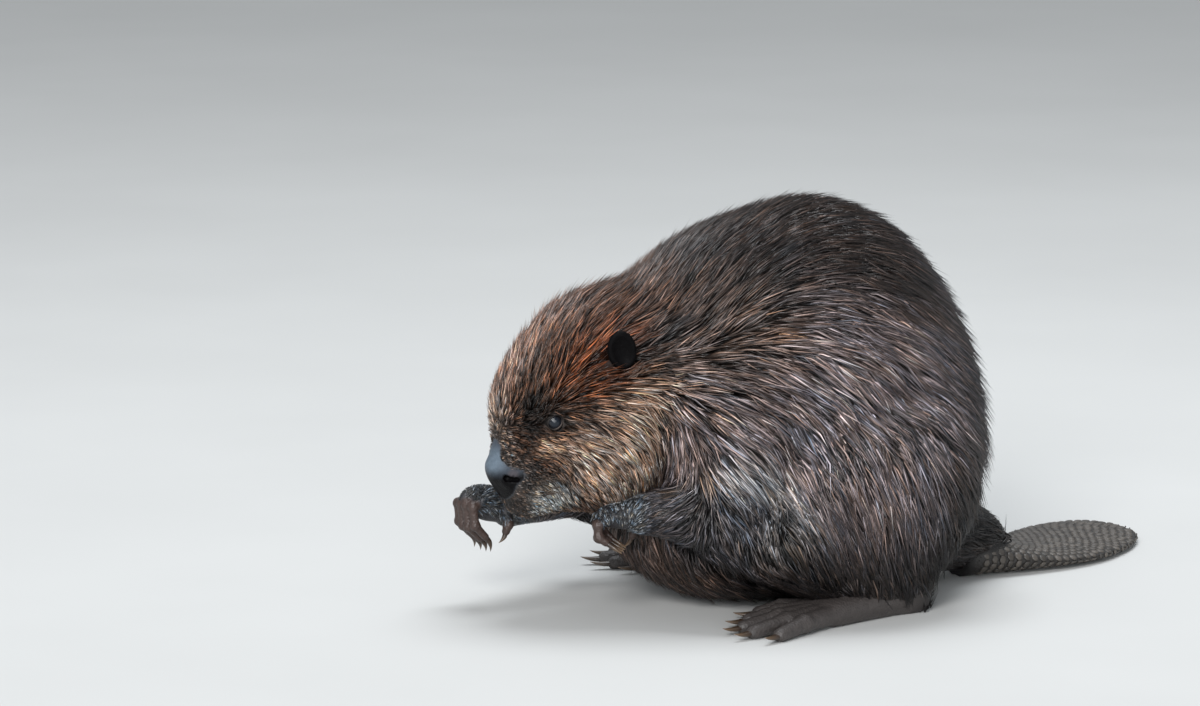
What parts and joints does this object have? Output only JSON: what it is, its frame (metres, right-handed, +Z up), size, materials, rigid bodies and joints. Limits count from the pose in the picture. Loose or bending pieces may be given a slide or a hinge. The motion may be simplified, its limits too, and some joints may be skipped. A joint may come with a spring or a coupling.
{
  "type": "beaver",
  "caption": "Life-size still model of a beaver sitting hunched with both forepaws raised to feed, flat scaly tail laid on the floor",
  "frame": {"origin": "on the floor, in the middle of the whole animal's length and width", "axes": "+Z up from the floor; the animal faces -X; its left side is towards -Y and the tail lies towards +X"},
  "size_m": [0.5566, 0.324, 0.2849],
  "materials": {
    "body_fur": "dense brown coat of moist guard hair over underfur",
    "head_fur": "shorter chestnut and light brown coat",
    "paw_skin": "dark bare skin with sparse fine hair",
    "tail_scales": "dark leathery scales",
    "nose_pad": "bare moist grey-blue skin",
    "eye": "dark glossy eye",
    "claw": "brown horn",
    "ear_fur": "thin near-black fur"
  },
  "bodies": {
    "root": {"trunk": "body_fur", "neck": "body_fur", "head": "head_fur", "tail_root": "body_fur", "tail": "tail_scales", "nose": "nose_pad", "upper_arm_left": "body_fur", "forearm_left": "body_fur", "hind_leg_left": "body_fur", "forepaw_left": "paw_skin", "hind_foot_left": "paw_skin", "eye_left": "eye", "ear_left": "ear_fur", "claw_fore_left_1": "claw", "claw_hind_left_1": "claw", "claw_fore_left_2": "claw", "claw_hind_left_2": "claw", "claw_fore_left_3": "claw", "claw_hind_left_3": "claw", "claw_fore_left_4": "claw", "claw_hind_left_4": "claw", "claw_fore_left_5": "claw", "claw_hind_left_5": "claw", "upper_arm_right": "body_fur", "forearm_right": "body_fur", "hind_leg_right": "body_fur", "forepaw_right": "paw_skin", "hind_foot_right": "paw_skin", "eye_right": "eye", "ear_right": "ear_fur", "claw_fore_right_1": "claw", "claw_hind_right_1": "claw", "claw_fore_right_2": "claw", "claw_hind_right_2": "claw", "claw_fore_right_3": "claw", "claw_hind_right_3": "claw", "claw_fore_right_4": "claw", "claw_hind_right_4": "claw", "claw_fore_right_5": "claw", "claw_hind_right_5": "claw"}
  },
  "joints": []
}
